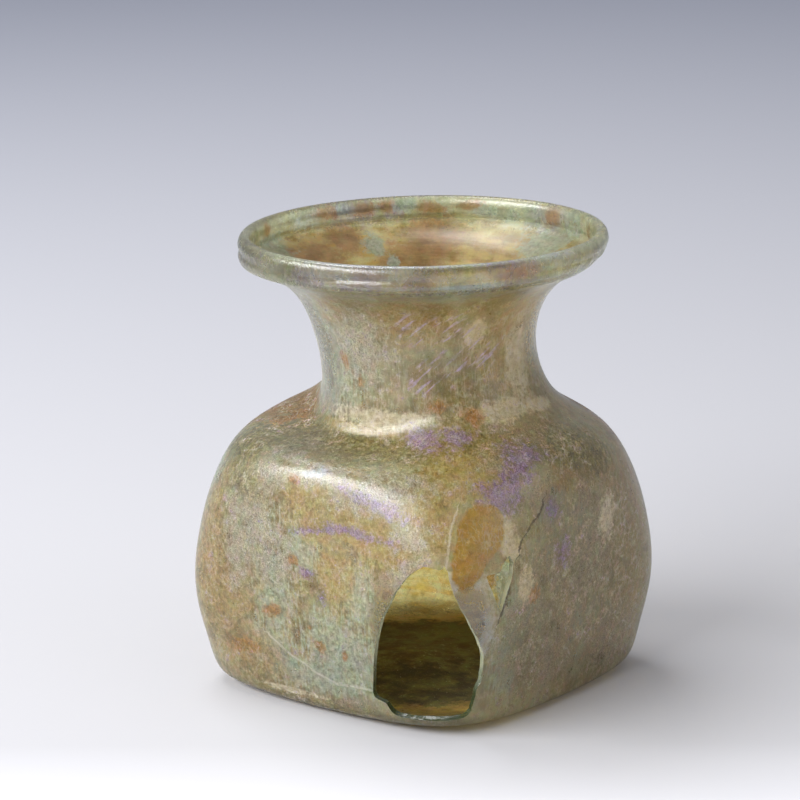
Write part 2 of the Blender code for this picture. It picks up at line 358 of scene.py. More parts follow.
def rimPlace(turn, angle):
    # the folded rim: an upright superellipse with a groove outside,
    # its lower outer edge flaked away on one arc
    oval = 2 / jar["rimSquareness"]
    across = np.sign(np.cos(turn)) * np.abs(np.cos(turn)) ** oval
    up = np.sign(np.sin(turn)) * np.abs(np.sin(turn)) ** oval
    groove = bell(up, jar["crease"], -jar["creaseDrop"], jar["creaseReach"])
    groove = groove * (1 + waveSum(angle, jar["creaseWaves"])) * (across > 0)
    radius = jar["mouthRadius"] + across * jar["rimWidth"] / 2 - groove
    drop = np.clip(-up, 0, 1) * jar["rimDepth"] / 2
    off = (angle - math.radians(jar["chipDirection"]) + math.pi) % turnRound - math.pi
    along = np.clip(1 - (off / math.radians(jar["chipHalfArc"])) ** 2, 0, 1)
    flake = jar["chipDepth"] * along * (1 + waveSum(angle, jar["chipWaves"]))
    radius = radius - flake * np.clip(-up, 0, 1) * np.clip(across, 0, 1)
    height = rimMiddle() + up * jar["rimDepth"] / 2 + drop * (1 - rimHang(angle, radius))
    return radius, height


def insideRim(radius, height, angle):
    # below 1 where a point of the wall lies within the rim's section
    drop = rimMiddle() - height
    drop = np.where(drop > 0, drop / rimHang(angle, radius), drop)
    across = np.abs(radius - jar["mouthRadius"]) / (jar["rimWidth"] / 2)
    up = np.abs(drop) / (jar["rimDepth"] / 2)
    return across ** jar["rimSquareness"] + up ** jar["rimSquareness"]


def wallToRim(radius, height, angle, shares, level):
    # rings up the neck's wall, each column ending where the wall enters the rim, and the rim's turn there
    inside = insideRim(radius[:, None], height[:, None], angle) < 1
    end = inside.argmax(axis=0)
    at = shares[:, None] * end
    rows = np.arange(len(radius))
    rings = np.stack([np.interp(at, rows, radius), np.interp(at, rows, height)])
    rings = sunk(roundPoints(rings, angle), np.interp(at, rows, level))
    across = (radius[end] - jar["mouthRadius"]) / (jar["rimWidth"] / 2)
    drop = (rimMiddle() - height[end]) / rimHang(angle, radius[end])
    up = -drop / (jar["rimDepth"] / 2)
    power = jar["rimSquareness"] / 2
    turn = np.arctan2(np.sign(up) * np.abs(up) ** power, np.sign(across) * np.abs(across) ** power)
    return rings, turn


def surfaceNormals(grid):
    # unit vectors square to a closed grid of rings, from the steps round and along it
    around = np.roll(grid, -1, axis=1) - np.roll(grid, 1, axis=1)
    along = np.gradient(grid, axis=0)
    normal = np.cross(around, along)
    return normal / np.maximum(np.linalg.norm(normal, axis=-1, keepdims=True), 1e-9)


def roundPoints(rings, angle):
    # radii and heights turned about the jar's axis: x is radius by cosine, y is radius by sine
    radius, height = rings
    return np.stack([radius * np.cos(angle), radius * np.sin(angle), height], axis=-1)


def jarGrid():
    # the whole skin as rings of points: from the middle of the underside out, up, over the rim,
    # and down inside
    angle = np.arange(jar["columns"]) / jar["columns"] * turnRound
    dense = wallProfile()
    root = int(np.argmax(dense[:, 1] >= jar["bodyHeight"]))
    shares = np.linspace(0, 1, steps["kick"])[1:]
    kick = np.column_stack(
        [shares * jar["kickRadius"], jar["kickHeight"] * np.cos(shares * math.pi / 2) ** 2]
    )
    ring = np.linspace(jar["kickRadius"], dense[0, 0], steps["standing"])[1:-1]
    flatRing = np.column_stack([ring, 0 * ring])
    side = dense[np.linspace(0, root, steps["body"]).astype(int)][:-1]
    profile = np.vstack([kick, flatRing, side])
    body = pressed(profile[:, :1], profile[:, 1:], angle, jar["cornerCrowding"])
    bodyGrid = sunk(body, profile[:, 1:])

    neck = dense[root:]
    shares = np.linspace(0, 1, steps["neck"])
    outerNeck, rimStart = wallToRim(neck[:, 0], neck[:, 1], angle, shares, neck[:, 1])
    outer = np.vstack([bodyGrid, outerNeck])

    along = np.gradient(neck, axis=0)
    square = np.column_stack([-along[:, 1], along[:, 0]]) / np.hypot(along[:, 0], along[:, 1])[:, None]
    innerNeck = neck + square * wallThickness(neck[:, 1])[:, None]
    innerFree, rimEnd = wallToRim(innerNeck[:, 0], innerNeck[:, 1], angle, shares, neck[:, 1])
    squared = outer - surfaceNormals(outer) * wallThickness(outer[..., 2:])
    innerBody = squared[: len(bodyGrid)]
    # from 0.2 to 0.6 of the way up, the inner wall leaves the outer skin's offset for its own profile
    free = np.clip(2.5 * shares - 0.5, 0, 1)[:, None, None]
    innerNeckGrid = free * innerFree + (1 - free) * squared[len(bodyGrid) :]

    shares = np.linspace(0, 1, steps["rim"])[1:-1, None]
    turn = rimStart + shares * (rimEnd % turnRound - rimStart)
    rim = roundPoints(rimPlace(turn, angle), angle)
    thinned = np.concatenate([np.arange(0, len(bodyGrid) - 1, 2), [len(bodyGrid) - 1]])
    rings = np.vstack([outer, rim, innerNeckGrid[::-1], innerBody[thinned][::-1]])
    # the inner face's look starts on the top of the rim
    overTop = np.clip((turn - math.radians(85)) / math.radians(60), 0, 1)
    lining = np.ones((len(innerNeckGrid) + len(thinned), len(angle)))
    inside = np.vstack([np.zeros(outer.shape[:2]), overTop, lining])
    poles = np.array([[0, 0, jar["kickHeight"]], [0, 0, jar["kickHeight"] + jar["baseWall"]]])
    return leaned(uneven(rings)), poles, np.append(inside.ravel(), [0, 1])


def uneven(points):
    # slow waves, each a sine of the angle and the height, pushed along the radius
    angle = np.arctan2(points[..., 1], points[..., 0])
    height = points[..., 2]
    wave = 0
    for high, turns, climb, start in jar["slowWaves"]:
        wave = wave + high * np.sin(turns * angle + height / climb + start)
    radius = np.hypot(points[..., 0], points[..., 1])
    rise = np.clip(height / jar["wavyFrom"], 0, 1)
    share = jar["waviness"] * wave * rise / np.maximum(radius, jar["wavyFrom"])
    return points * np.stack([1 + share, 1 + share, np.ones_like(share)], axis=-1)


def closedMesh(name, rings, poles):
    # rings joined by quads, and a fan of triangles to a single point at each end
    count, columns = rings.shape[:2]
    points = np.vstack([rings.reshape(-1, 3), poles])
    start = np.arange(columns)
    beside = (start + 1) % columns
    row = np.arange(count - 1)[:, None] * columns
    quads = np.stack([row + start, row + beside, row + columns + beside, row + columns + start], axis=-1)
    last = (count - 1) * columns
    first = np.column_stack([beside, start, np.full(columns, count * columns)])
    final = np.column_stack([last + start, last + beside, np.full(columns, count * columns + 1)])
    mesh = bpy.data.meshes.new(name)
    faces = quads.reshape(-1, 4).tolist() + first.tolist() + final.tolist()
    mesh.from_pydata((points * mm).tolist(), [], faces)
    mesh.update()
    return mesh


def newObject(name, mesh):
    made = bpy.data.objects.new(name, mesh)
    bpy.context.scene.collection.objects.link(made)
    return made


def breakPlaces(missing, finer):
    # the break's outline laid on the outer skin: positions on it, and directions square to the glass
    outline = np.array(missing["outline"]) * [missing["width"], missing["height"]]
    share = (np.arange(finer) / finer)[:, None]
    before, ahead, beyond = [np.roll(outline, by, axis=0) for by in (1, -1, -2)]
    leaving, arriving = [missing["roundness"] * (b - a) for a, b in ((before, ahead), (outline, beyond))]
    curve = [
        outline[i] * (2 * share**3 - 3 * share**2 + 1)
        + ahead[i] * (3 * share**2 - 2 * share**3)
        + leaving[i] * (share**3 - 2 * share**2 + share)
        + arriving[i] * (share**3 - share**2)
        for i in range(len(outline))
    ]
    at = np.arange(len(outline) * finer) / finer
    jag = missing["jag"] * waveSum(at, jagWaves)
    across, height = np.vstack(curve).T
    across = across + missing["offset"] + jag
    height = height + missing["foot"] + 0.7 * np.roll(jag, 3)
    dense = wallProfile()
    dense = dense[dense[:, 1] <= jar["bodyHeight"]]
    corner = math.radians(missing["corner"])

    def skin(angle, level):
        # the pressed skin at an angle and a height
        return pressed(np.interp(level, dense[:, 1], dense[:, 0]), level, angle, crowding=0)

    # the angle at which the skin lies nearest to each point of the outline, a radian either way
    tries = corner + np.linspace(-1.0, 1.0, 401)[:, None]
    side = unitAt(missing["corner"] + 90)
    reach = skin(tries, height + 0 * tries)[..., :2] @ side
    angle = tries[np.abs(reach - across).argmin(axis=0), 0]
    step = 0.01
    place = skin(angle, height)
    around = skin(angle + step, height) - skin(angle - step, height)
    upward = skin(angle, height + step) - skin(angle, height - step)
    square = np.cross(around, upward)
    return place, square / np.linalg.norm(square, axis=-1, keepdims=True)


def breakCutter(name, missing, outside, inside, finer=4):
    # a closed wedge whose sides follow the outline straight through the glass, with a point at each end
    place, square = breakPlaces(missing, finer)
    rings = np.stack([place + square * depth for depth in cutDepths])
    return newObject(name, closedMesh(name, rings, np.array([inside, outside])))


def cutAway(thing, tool):
    # the thing without the tool's shape, and the tool gone
    modifier = thing.modifiers.new("cut", "BOOLEAN")
    modifier.operation = "DIFFERENCE"
    modifier.solver = "MANIFOLD"
    modifier.object = tool
    bpy.context.view_layer.update()
    cut = bpy.data.meshes.new_from_object(thing.evaluated_get(bpy.context.evaluated_depsgraph_get()))
    thing.modifiers.clear()
    old = thing.data
    thing.data = cut
    bpy.data.meshes.remove(old)
    bpy.data.objects.remove(tool)


def signedVolume(mesh):
    # a sixth of each triangle's triple product, summed: below 0 where the faces point inwards
    mesh.calc_loop_triangles()
    corners = np.empty(len(mesh.loop_triangles) * 3, np.int32)
    mesh.loop_triangles.foreach_get("vertices", corners)
    places = meshPoints(mesh)[corners.reshape(-1, 3)]
    return np.einsum("ij,ij->i", places[:, 0], np.cross(places[:, 1], places[:, 2])).sum() / 6


def meshPoints(mesh):
    flat = np.empty(len(mesh.vertices) * 3, np.float32)
    mesh.vertices.foreach_get("co", flat)
    return flat.reshape(-1, 3).astype(float)


def setAttribute(mesh, name, values):
    # a number on each point, which the material reads by its name
    made = mesh.attributes.new(name, "FLOAT", "POINT")
    made.data.foreach_set("value", values.astype(np.float32))


def facingOut(mesh):
    if signedVolume(mesh) < 0:
        mesh.flip_normals()
    return mesh


def addSlots(mesh):
    # slot 0 is for the weathered faces and slot 1 for the broken edge
    for slot in ("outer glass", "broken edge"):
        mesh.materials.append(bpy.data.materials.new(slot))


rings, poles, inside = jarGrid()
glassJar = newObject("glassJar", facingOut(closedMesh("glassJar", rings, poles)))
setAttribute(glassJar.data, "inside", inside)
addSlots(glassJar.data)
print("jar grid:", rings.shape[0], "rings,", len(glassJar.data.polygons), "faces")
for cutter in (
    breakCutter("cornerWedge", missingCorner, outside=(36, -36, 16), inside=(14, -14, 15)),
    breakCutter("splinterWedge", missingSplinter, outside=(38, -28, 27), inside=(25, -15, 27)),
):
    addSlots(facingOut(cutter.data))
    cutter.data.polygons.foreach_set("material_index", np.ones(len(cutter.data.polygons), np.int32))
    cutAway(glassJar, cutter)
print("corner broken out:", len(glassJar.data.polygons), "faces")


# What long burial left on the glass, and the shade, highlights and glow painted among it

# Each film has its darker and lighter tint, its edge as (how torn, how frayed, how soft, how much it covers),
# and its patches as (angle round the jar in degrees, height, half width, half height, any slant in degrees).
# An angle of -90 is the middle of the left side in the main view, and 0 the middle of the right side.
films = {
    "clean": {
        "tints": ("#B2BC88", "#EAF0CC"),
        "edge": (2.4, 1.6, 0.35, 1.0),
        "patches": [
            (0, 77.8, 400, 3.2), (128, 9, 18, 12), (-42, 22, 3.5, 6), (-118, 62, 4, 9), (20, 66, 4, 9),
            (-62, 20, 3, 6),
        ],
    },
    "aqua": {
        "tints": ("#A2AE92", "#D4DEC2"),
        "edge": (3.0, 1.4, 0.3, 0.85),
        "patches": [
            (-110, 62, 7, 12), (-124, 56, 7, 9), (-103, 21, 4, 11, -6), (-79, 12, 8, 7), (-106, 11, 4, 5),
            (-71, 24, 3, 5), (-90, 7, 12, 3), (-68, 45.4, 6, 1.2), (-92, 29, 3.5, 4, 20),
            (-84, 74.5, 12, 2), (-55, 74, 8, 1.6), (-14.4, 31.5, 2.4, 6, 6), (-26, 21, 3.5, 5),
            (-9, 36.5, 4, 4), (10, 46, 7, 2), (0, 33, 3.4, 4), (8, 15, 5, 5), (24, 42, 4, 3),
            (-20, 30, 2.6, 4), (-30, 12, 3.5, 6), (-140, 35, 6, 12), (60, 60, 8, 10), (75, 20, 9, 12, 10),
            (110, 40, 8, 7), (170, 15, 8, 9), (150, 62, 6, 12), (12, 77, 4, 3),
        ],
    },
    "oliveAndShade": {
        "tints": ("#5C5A2E", "#8E8A54"),
        "edge": (2.2, 1.0, 0.4, 0.85),
        "patches": [
            # the patches along the shoulders, 39 to 47 mm up, are painted shade: the dark band under the
            # neck's root and the darker shoulders; the others are olive films
            (-128, 44.5, 9, 4), (-108, 45.5, 5, 1.5), (-75, 46.6, 14, 1.3), (5, 45.2, 9, 3.4),
            (14, 42, 5, 3), (-128, 77.5, 6, 4), (-50, 2, 7, 2), (-97, 77, 5, 1.4), (-118, 39.5, 2, 1.6),
            (-26, 39, 4, 1.6), (20, 6, 8, 3.5), (-98, 50, 4, 2), (95, 45, 9, 3), (-170, 42, 8, 3),
            (140, 20, 6, 6),
        ],
    },
    "tan": {
        "tints": ("#9E864E", "#CCB070"),
        "edge": (2.4, 1.2, 0.4, 0.8),
        "patches": [
            (-124, 22, 8, 12), (-128, 31, 5, 8), (-114, 8, 7, 5), (28, 28, 5, 16), (34, 38, 6, 6),
            (22, 38, 5, 4), (-6, 41, 4, 2), (55, 25, 9, 12), (-150, 18, 9, 10), (-88, 2.0, 10, 1.5),
            (-62, 68, 7, 5),
        ],
    },
    "gold": {
        "tints": ("#B0984E", "#D0BC76"),
        "edge": (1.8, 0.9, 0.2, 0.75),
        "patches": [
            (-90, 39, 5, 4), (-82, 35, 6, 5, 10), (-73, 36, 7, 5), (-79, 27, 4, 6), (-62, 33, 5, 5),
            (-52, 38, 5, 5), (-42, 44, 7, 3.5), (-90, 48.5, 9, 1.0), (-98, 69, 4, 3.5), (30, 12, 4, 8),
            (-2, 63, 7, 10), (-14, 48, 6, 2), (95, 30, 9, 7), (-170, 30, 9, 8), (140, 30, 7, 10),
        ],
    },
    "mauve": {
        "tints": ("#887660", "#DAC6AE"),
        "edge": (4.2, 3.0, 0.3, 0.8),
        "patches": [
            (-10, 25, 4, 7, 20), (-3, 17, 5, 7, -15), (-16, 40, 3, 2), (4, 38, 3, 3), (12, 28, 5, 9, 10),
            (-14, 9, 9, 5), (-4, 12, 6, 4), (-27, 45.8, 4, 2), (-14, 48, 6, 2), (-84, 2.4, 10, 1.2),
            (-72, 3.2, 4, 1.6), (22, 10, 7, 7), (80, 30, 6, 7), (160, 45, 6, 4), (-56, 30, 3, 2),
            (-62, 27, 3, 2),
        ],
    },
    "crust": {
        "tints": ("#82806A", "#E4E2D0"),
        "edge": (3.6, 3.0, 0.5, 0.8),
        "patches": [
            (-111, 34, 4.5, 8, 12), (-108, 41.5, 4, 4), (-116, 28, 3.5, 6), (-103, 27.5, 3.5, 5),
            (-118, 37, 3, 4), (-66, 41.5, 8, 3, 12), (-88, 43.5, 7, 2), (-22, 18, 6, 8),
            (-57, 26, 2.4, 5), (-56, 35, 3, 3), (4, 27, 5, 7), (90, 40, 6, 5), (-165, 40, 6, 5),
            (-88, 64, 5, 8), (-112, 51, 5, 1.5),
        ],
    },
    "dullAndShade": {
        "tints": ("#605828", "#A49A58"),
        "edge": (4.6, 3.6, 0.4, 0.7),
        "patches": [
            # the patches along the shoulders, 39 to 47 mm up, are painted shade: the dark band under the
            # neck's root and the darker shoulders; the others are a dull film
            (-2, 26, 15, 19), (14, 22, 14, 18), (-22, 14, 6, 10), (-10, 47, 12, 3), (12, 43, 9, 4),
            (-75, 46.4, 12, 1.2), (-125, 45, 7, 3), (-116, 39, 5, 3), (-84, 1.6, 14, 1.5),
            (-68, 2.2, 5, 1.3), (60, 25, 14, 18), (120, 40, 12, 8), (-160, 25, 12, 14),
        ],
    },
    "paleAndHighlight": {
        "tints": ("#D8CC9C", "#FFF8DA"),
        "edge": (1.6, 1.0, 0.25, 0.85),
        "patches": [
            # of these, the patch at -76 along the neck's root is a painted highlight, where light catches it;
            # the others are pale films
            (15.6, 32, 2.3, 3.7), (-42, 26, 4.4, 5.4, -15), (-39, 20.5, 3.2, 5.6, 12),
            (-76, 50.6, 11, 1.7), (-100, 3.2, 8, 0.5), (-29, 33, 2, 4, 20), (2, 60, 3, 7),
            (-14, 52, 5, 1.7), (9, 51.4, 4, 1.0), (-27, 66, 1.8, 2.4), (4, 77.8, 6, 1.8),
            (-24, 25, 1.8, 3), (100, 60, 6, 8), (-150, 60, 6, 8),
        ],
    },
    "smooth": {
        "tints": ("#AC8426", "#BE983C"),
        "edge": (0.5, 0.2, 0.06, 1.0),
        "patches": [(-37.6, 35.4, 4.1, 4.6, -20), (-40.6, 32, 3.2, 5.6, -22), (-34.6, 37, 2.4, 2.6)],
    },
    "rust": {
        "tints": ("#96601C", "#C8903C"),
        "edge": (3.0, 2.0, 0.25, 0.85),
        "patches": [
            (-141, 47, 2, 1.4), (-117, 9.8, 3.4, 1.3, 5), (-96, 41.6, 1.2, 0.8), (-88, 56.5, 0.8, 1.3),
            (-98, 59.5, 0.7, 1.3), (-86, 13, 1.1, 1.2), (-30, 51.7, 1.6, 1.3), (-95, 27.6, 1.1, 1.1),
            (-104, 17.5, 2.5, 1.2), (-90, 25.5, 0.7, 0.9), (-20, 23, 1.4, 1.6), (-45, 53, 1.4, 1.2),
            (50, 44, 5, 3), (125, 46, 5, 3), (-90, 16, 0.6, 0.7), (-77, 12, 0.7, 0.8),
            (-100, 60.5, 0.5, 1),
        ],
    },
    "amber": {
        "tints": ("#553A0A", "#7E5A14"),
        "edge": (1.6, 0.8, 0.4, 0.95),
        "patches": [(-153, 48.2, 8, 3.4), (-165, 46.5, 7, 3.4), (60, 47, 6, 3)],
    },
    "violetAndSheen": {
        "tints": ("#60447A", "#B096E2"),
        "edge": (3.6, 5.4, 0.5, 0.75),
        "patches": [
            # the film is real, but its violet is also a painted sheen, the colour its shine takes where light
            # catches it, brightest on the rim 77 to 79 mm up
            (-31, 40.6, 3.2, 1.8, -15), (-25, 42.3, 1.8, 2.4, 12), (-21, 44.6, 2.0, 2.8, 10),
            (-15, 46, 2.4, 1.4), (-51, 48.6, 3, 1.4), (-40, 48.8, 2.6, 1.1), (-12, 37, 1.6, 2.0),
            (-7, 29, 1.6, 2.4), (-84, 34.0, 6, 0.6, 10), (-73, 34.6, 6, 0.7, -6), (-90, 25.8, 1.6, 0.9),
            (-85, 21.8, 0.8, 1.3), (-66, 39.8, 6, 1.0, -18), (-72, 77.6, 5, 3), (-55, 77.8, 5, 2.6),
            (-29, 77.6, 6, 2.6), (-88, 77.4, 4, 1.6), (95, 33, 3, 2), (-175, 43, 3, 1.5), (150, 77, 6, 2),
            (80, 77.5, 4, 2),
        ],
    },
    "blueAndHighlight": {
        "tints": ("#B4C6DC", "#DCE8FA"),
        "edge": (2.0, 1.4, 0.3, 0.7),
        "patches": [
            # the patches at -64 and -78 on the rim are a painted highlight; the others are a bluish film
            (-42.5, 25.5, 3.4, 5, -15), (-39.5, 21, 2.8, 5.4, 12), (-39, 76.9, 5, 2), (-64, 78.8, 6, 1.6),
            (-78, 78.4, 8, 1.8), (-10, 79, 6, 1.4), (-88, 43.2, 3, 0.6, 8), (170, 77, 4, 1.4),
        ],
    },
    "swirl": {  # where the slanting streaks of the neck show
        "patches": [
            (-56, 67, 5, 3.4), (-40, 67, 5, 3), (-52, 58, 3.4, 3), (-38, 61, 5, 3.4), (-22, 62, 4, 3),
        ],
    },
    # the lining's own gold, painted brighter as a glow where light shines through the glass: on the back
    # wall's foot seen through the break, and at the back of the mouth
    "innerGoldAndGlow": {
        "tints": ("#EEB03A", "#FFE884"),
        "edge": (1.5, 0.6, 0.25, 0.95),
        "patches": [(128, 8, 17, 9), (150, 10, 10, 8), (100, 10, 10, 8), (165, 71, 16, 6)],
    },
    "innerFloorShade": {  # painted shade, laid on the floor inside where little light reaches, and not in patches
        "tints": ("#161C0C", "#3A4222"),
        "edge": (2.0, 1.0, 0.4, 0.93),
    },
    "innerGreen": {
        "tints": ("#B4B474", "#F2FAC8"),
        "edge": (1.6, 0.8, 0.5, 0.85),
        "patches": [(0, 79.4, 400, 3.6)],
    },
    "innerRust": {
        "tints": ("#8A5014", "#BE7C2A"),
        "edge": (2.4, 1.6, 0.3, 0.9),
        "patches": [
            (-164, 77.6, 1.6, 2.6), (163, 78.2, 3, 1.4), (149, 78.2, 2.4, 1.5), (140, 78.4, 2.4, 1.3),
            (126, 78.0, 3.4, 1.3), (112, 78.6, 3, 1.0), (77, 77.9, 2.2, 2.4), (50, 77.6, 1.4, 1.6),
            (-170, 73.3, 2, 1.4, 30), (124, 73.5, 5, 3.5), (136, 70, 6, 3), (178, 71.5, 5, 3),
            (160, 74, 4, 2), (20, 78, 3, 1.5), (-20, 78, 4, 1.2), (-70, 77.5, 3, 1.4),
            (-120, 77.5, 3, 1.4), (105.5, 9, 2.2, 3),
        ],
    },
    "innerAqua": {
        "tints": ("#7C8C6E", "#C2CEAE"),
        "edge": (2.0, 1.4, 0.2, 0.85),
        "patches": [
            (156, 78.6, 1.8, 1.3), (134, 78.6, 2.2, 1.6), (100, 77.4, 5, 1.2), (86, 78.0, 2.6, 2.4),
            (64, 78.4, 3.8, 2.6), (-163, 74.9, 4.6, 1.9, -10), (150, 72.6, 2.1, 1.5),
            (142, 69.9, 1.2, 1.1), (72, 74.3, 5.5, 2.6), (99.5, 8.5, 2, 4.6), (-100, 77, 5, 2),
            (-40, 75, 5, 2), (10, 74, 6, 3),
        ],
    },
}

cracks = {
    "darkCrack": [
        [(32.3, -15.9, 31.6), (32.4, -15.3, 32.8), (32.5, -12.8, 35), (32.6, -10, 36.8), (32.5, -9.2, 38)],
        [(32.2, -18.6, 25.7), (32.1, -19.8, 22.8), (32, -20.8, 21)],
    ],
    "paleCrack": [
        [(26.7, -28.6, 30.7), (26.6, -28.3, 31.9), (26, -26.5, 36.8), (26, -25.5, 38.3), (26, -24.5, 39.8)],
        [(12.3, -30.9, 6.7), (8.7, -31, 6.7), (5, -31, 6.4), (2.3, -31.1, 7.2)],
        [(2.3, -31.1, 7.2), (0.1, -31.2, 7.8), (-1.9, -31.4, 8.9)],
        [(-1.9, -31.4, 8.9), (-4.6, -31.5, 9.7), (-9.4, -31.8, 12.6)],
    ],
}


def patchField(points, patches):
    # how deep each point lies in the nearest patch: 1 at its middle, 0 at its edge, below 0 outside it
    radius = np.hypot(points[:, 0], points[:, 1])
    angle = np.degrees(np.arctan2(points[:, 1], points[:, 0]))
    field = np.full(len(points), -1.0)
    for middle, height, wide, high, *slant in patches:
        across = ((angle - middle + 180) % 360 - 180) * math.pi / 180 * radius
        up = points[:, 2] - height
        c, s = unitAt(slant[0] if slant else 0)
        depth = 1 - np.hypot((across * c + up * s) / wide, (up * c - across * s) / high)
        field = np.maximum(field, depth)
    return field


def sideOfCrack(points, lines):
    # distance to the nearest crack, below 0 on one side of it, so that it crosses 0 on the crack itself
    best = np.full(len(points), 20.0)
    for line in lines:
        for start, end in zip(np.array(line)[:-1], np.array(line)[1:]):
            run = end - start
            share = np.clip((points - start) @ run / (run @ run), 0, 1)
            gap = points - start - share[:, None] * run
            far = np.linalg.norm(gap, axis=1)
            side = np.einsum("ij,ij->i", np.cross(points * [1, 1, 0], run), gap)
            best = np.where(far < np.abs(best), far * np.where(side < 0, -1, 1), best)
    return best


def readFaces(mesh):
    # each face's material and first corner, and the point at each corner
    material = np.empty(len(mesh.polygons), np.int32)
    start = np.empty(len(mesh.polygons), np.int32)
    corner = np.empty(len(mesh.loops), np.int32)
    mesh.polygons.foreach_get("material_index", material)
    mesh.polygons.foreach_get("loop_start", start)
    mesh.loops.foreach_get("vertex_index", corner)
    return material, start, corner


def mendInside(mesh):
    # a point that the cut made belongs to the side of the whole faces that meet it
    material, start, corner = readFaces(mesh)
    inside = np.empty(len(mesh.vertices), np.float32)
    layer = mesh.attributes["inside"]
    layer.data.foreach_get("value", inside)
    faceOf = np.repeat(np.arange(len(start)), np.diff(np.append(start, len(corner))))
    broken = material[faceOf] == 1
    fresh = np.zeros(len(inside), bool)
    fresh[corner[broken]] = True
    for _ in range(2):
        most = np.maximum.reduceat(inside[corner], start)[faceOf]
        spread = inside.copy()
        np.maximum.at(spread, corner[~broken], most[~broken])
        inside = np.where(fresh, spread, inside)
    layer.data.foreach_set("value", inside)


neckStreaks = {"radius": 21, "slant": 38, "long": 5, "wide": 0.8}


def twistedPlaces(points):
    # places along and across the slanting streaks that the blower's turn left round the neck
    around = np.arctan2(points[:, 1], points[:, 0]) * neckStreaks["radius"]
    c, s = unitAt(neckStreaks["slant"])
    along = around * c + points[:, 2] * s
    across = points[:, 2] * c - around * s
    return np.column_stack([along / neckStreaks["long"], across / neckStreaks["wide"], 0 * along])


mendInside(glassJar.data)
places = meshPoints(glassJar.data) / mm
for name, film in films.items():
    if "patches" in film:
        setAttribute(glassJar.data, name, patchField(places, film["patches"]))
# painted shade on the floor inside, where little light reaches: deepest in the middle, gone 26 mm out and 2
# mm above the glass
floorShadeField = 4 - np.hypot(places[:, 0], places[:, 1]) / 6.5 - np.clip(places[:, 2] - 2.6, 0, None) * 2
setAttribute(glassJar.data, "innerFloorShade", floorShadeField)
for name, lines in cracks.items():
    setAttribute(glassJar.data, name, sideOfCrack(places, lines))
twist = glassJar.data.attributes.new("twist", "FLOAT_VECTOR", "POINT")
twist.data.foreach_set("vector", twistedPlaces(places).astype(np.float32).ravel())
print("patches and cracks laid out")


def between(tree, value, low, high, start=0.0, end=1.0):
    # the value's place between two levels, as a share
    limits = {"Value": value, "From Min": low, "From Max": high, "To Min": start, "To Max": end}
    return addNode(tree, "ShaderNodeMapRange", limits).outputs[0]


def mixed(tree, share, below, above, **settings):
    # one colour over another: each a hex code or another node's output
    ends = [linearColour(end) if isinstance(end, str) else end for end in (below, above)]
    inputs = {0: share, 6: ends[0], 7: ends[1]}
    return addNode(tree, "ShaderNodeMix", inputs, data_type="RGBA", **settings).outputs[2]


def worked(tree, operation, *values):
    # one sum on numbers or other nodes' outputs
    return addNode(tree, "ShaderNodeMath", dict(enumerate(values)), operation=operation).outputs[0]


def heightOf(tree, place):
    return addNode(tree, "ShaderNodeSeparateXYZ", {0: place}).outputs["Z"]


def measured(tree, name):
    return addNode(tree, "ShaderNodeAttribute", attribute_name=name).outputs["Fac"]


def crackLine(tree, name, width, strength, ragged):
    # a thin line along a crack, from the signed distance to it, its width worn uneven by a noise
    away = worked(tree, "MULTIPLY_ADD", ragged, 1.2, worked(tree, "ABSOLUTE", measured(tree, name)))
    away = worked(tree, "SUBTRACT", away, 0.6)
    return between(tree, away, width / 3, width, strength, 0.0)


def filmMask(tree, name, coarse, fine):
    # where a film lies: the patch's depth, torn by a coarse noise and frayed by a fine one
    torn, frayed, soft, cover = films[name]["edge"]
    depth = worked(tree, "MULTIPLY_ADD", coarse, torn, measured(tree, name))
    depth = worked(tree, "MULTIPLY_ADD", fine, frayed, depth)
    level = (torn + frayed) / 2
    return between(tree, depth, level - soft, level + soft, 0.0, cover)


# each film lies over the ones before it
outerFilms = (
    "clean", "aqua", "oliveAndShade", "tan", "gold", "mauve", "crust",
    "dullAndShade", "paleAndHighlight", "rust", "amber", "violetAndSheen", "blueAndHighlight", "smooth",
)
innerFilms = ("innerGoldAndGlow", "innerFloorShade", "innerGreen", "innerRust", "innerAqua")
finelyMottled = ("crust", "violetAndSheen", "mauve")


